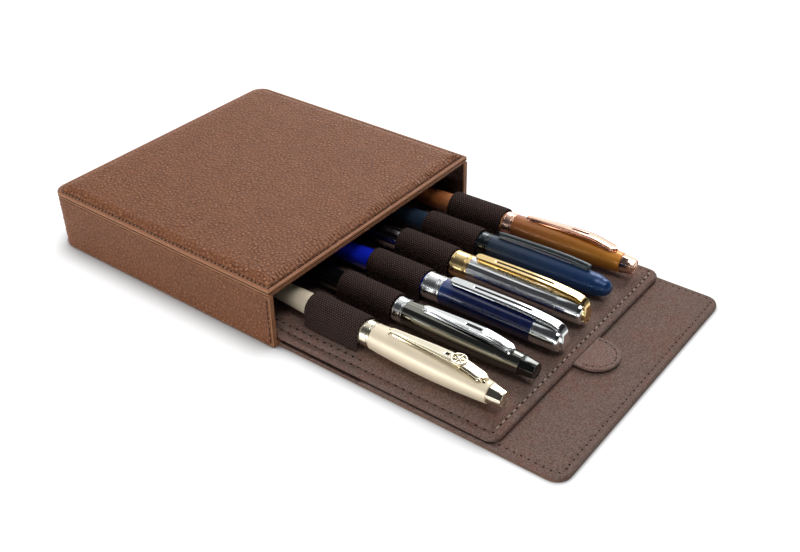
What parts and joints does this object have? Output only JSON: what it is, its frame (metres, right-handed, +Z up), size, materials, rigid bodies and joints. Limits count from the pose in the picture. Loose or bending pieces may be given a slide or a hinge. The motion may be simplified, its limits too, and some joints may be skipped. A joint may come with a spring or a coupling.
{
  "type": "pen case",
  "caption": "Flat leather-covered sleeve case with a padded lid, a sliding tray that holds pens in elastic loops, and a fold-over front flap.",
  "frame": {"origin": "middle of the sleeve's flat underside", "axes": "+Z up, +Y from the mouth to the sleeve's back, +X across the sleeve"},
  "size_m": [0.158, 0.3071, 0.0348],
  "materials": {
    "pebbled_leather": "fine pebbled grain, satin",
    "suede": "brushed nubuck, matte",
    "board": "plain grey-brown board, hidden",
    "foam": "soft wadding, hidden",
    "elastic": "dense fine-ribbed woven elastic, matte",
    "cream_lacquer": "pearly satin lacquer",
    "black_resin": "polished",
    "bright_blue_resin": "polished",
    "navy_lacquer": "deep gloss lacquer",
    "satin_blue": "soft satin coating",
    "amber_lacquer": "satin lacquer, lighter towards the crown",
    "engraved_chrome": "polished with fine straight engraving",
    "chrome": "polished",
    "gunmetal": "polished dark plating",
    "black_chrome": "polished black plating",
    "dark_metal": "polished dark plating",
    "gold": "polished gold plating",
    "pale_gold": "polished pale gold plating",
    "rose_gold": "polished rose gold plating"
  },
  "bodies": {
    "sleeve": {"base_leather": "pebbled_leather", "base_board": "board", "base_lining": "suede", "wall_leather": "pebbled_leather", "wall_board": "board", "wall_lining": "suede", "lid_lining": "suede", "lid_board": "board", "lid_pad": "foam", "lid_leather": "pebbled_leather", "mouth_trim": "pebbled_leather"},
    "flap_spine": {"spine_leather": "pebbled_leather", "spine_lining": "suede"},
    "flap_panel": {"panel_leather": "pebbled_leather", "panel_board": "board", "panel_lining": "suede"},
    "tray": {"tray_underside": "suede", "tray_board": "board", "tray_face": "suede", "pull_tab": "suede", "loop_1": "elastic", "loop_2": "elastic", "loop_3": "elastic", "loop_4": "elastic", "loop_5": "elastic", "loop_6": "elastic"},
    "pen_1": {"pen_1_barrel": "cream_lacquer", "pen_1_band": "pale_gold", "pen_1_cap": "cream_lacquer", "pen_1_crown": "pale_gold", "pen_1_clip": "pale_gold"},
    "pen_2": {"pen_2_barrel": "black_resin", "pen_2_band": "chrome", "pen_2_cap": "gunmetal", "pen_2_crown": "black_chrome", "pen_2_clip": "chrome"},
    "pen_3": {"pen_3_barrel": "bright_blue_resin", "pen_3_band": "chrome", "pen_3_cap": "navy_lacquer", "pen_3_crown": "chrome", "pen_3_clip": "chrome"},
    "pen_4": {"pen_4_barrel": "engraved_chrome", "pen_4_band": "gold", "pen_4_cap": "engraved_chrome", "pen_4_crown": "chrome", "pen_4_clip": "gold"},
    "pen_5": {"pen_5_barrel": "satin_blue", "pen_5_band": "gunmetal", "pen_5_cap": "satin_blue", "pen_5_crown": "satin_blue", "pen_5_clip": "dark_metal"},
    "pen_6": {"pen_6_barrel": "amber_lacquer", "pen_6_band": "rose_gold", "pen_6_cap": "amber_lacquer", "pen_6_crown": "rose_gold", "pen_6_clip": "rose_gold"}
  },
  "joints": [
    {"name": "tray_slide", "type": "slide", "parent": "sleeve", "child": "tray", "axis": [0, 1, 0], "range_m": [-0.025, 0.12]},
    {"name": "flap_root", "type": "hinge", "parent": "sleeve", "child": "flap_spine", "pos_m": [0, -0.0778, 0], "axis": [1, 0, 0], "range_deg": [0, 90]},
    {"name": "flap_crease", "type": "hinge", "parent": "flap_spine", "child": "flap_panel", "pos_m": [0, -0.12495, 0], "axis": [1, 0, 0], "range_deg": [0, 90]},
    {"name": "pen_1_slide", "type": "slide", "parent": "tray", "child": "pen_1", "axis": [-0.0262, -0.9997, 0], "range_m": [0, 0.07]},
    {"name": "pen_2_slide", "type": "slide", "parent": "tray", "child": "pen_2", "axis": [-0.014, -0.9999, 0], "range_m": [0, 0.07]},
    {"name": "pen_3_slide", "type": "slide", "parent": "tray", "child": "pen_3", "axis": [0, -1, 0], "range_m": [0, 0.07]},
    {"name": "pen_4_slide", "type": "slide", "parent": "tray", "child": "pen_4", "axis": [0.0052, -1, 0], "range_m": [0, 0.07]},
    {"name": "pen_5_slide", "type": "slide", "parent": "tray", "child": "pen_5", "axis": [0.0262, -0.9997, 0], "range_m": [0, 0.07]},
    {"name": "pen_6_slide", "type": "slide", "parent": "tray", "child": "pen_6", "axis": [0.0314, -0.9995, 0], "range_m": [0, 0.07]}
  ]
}
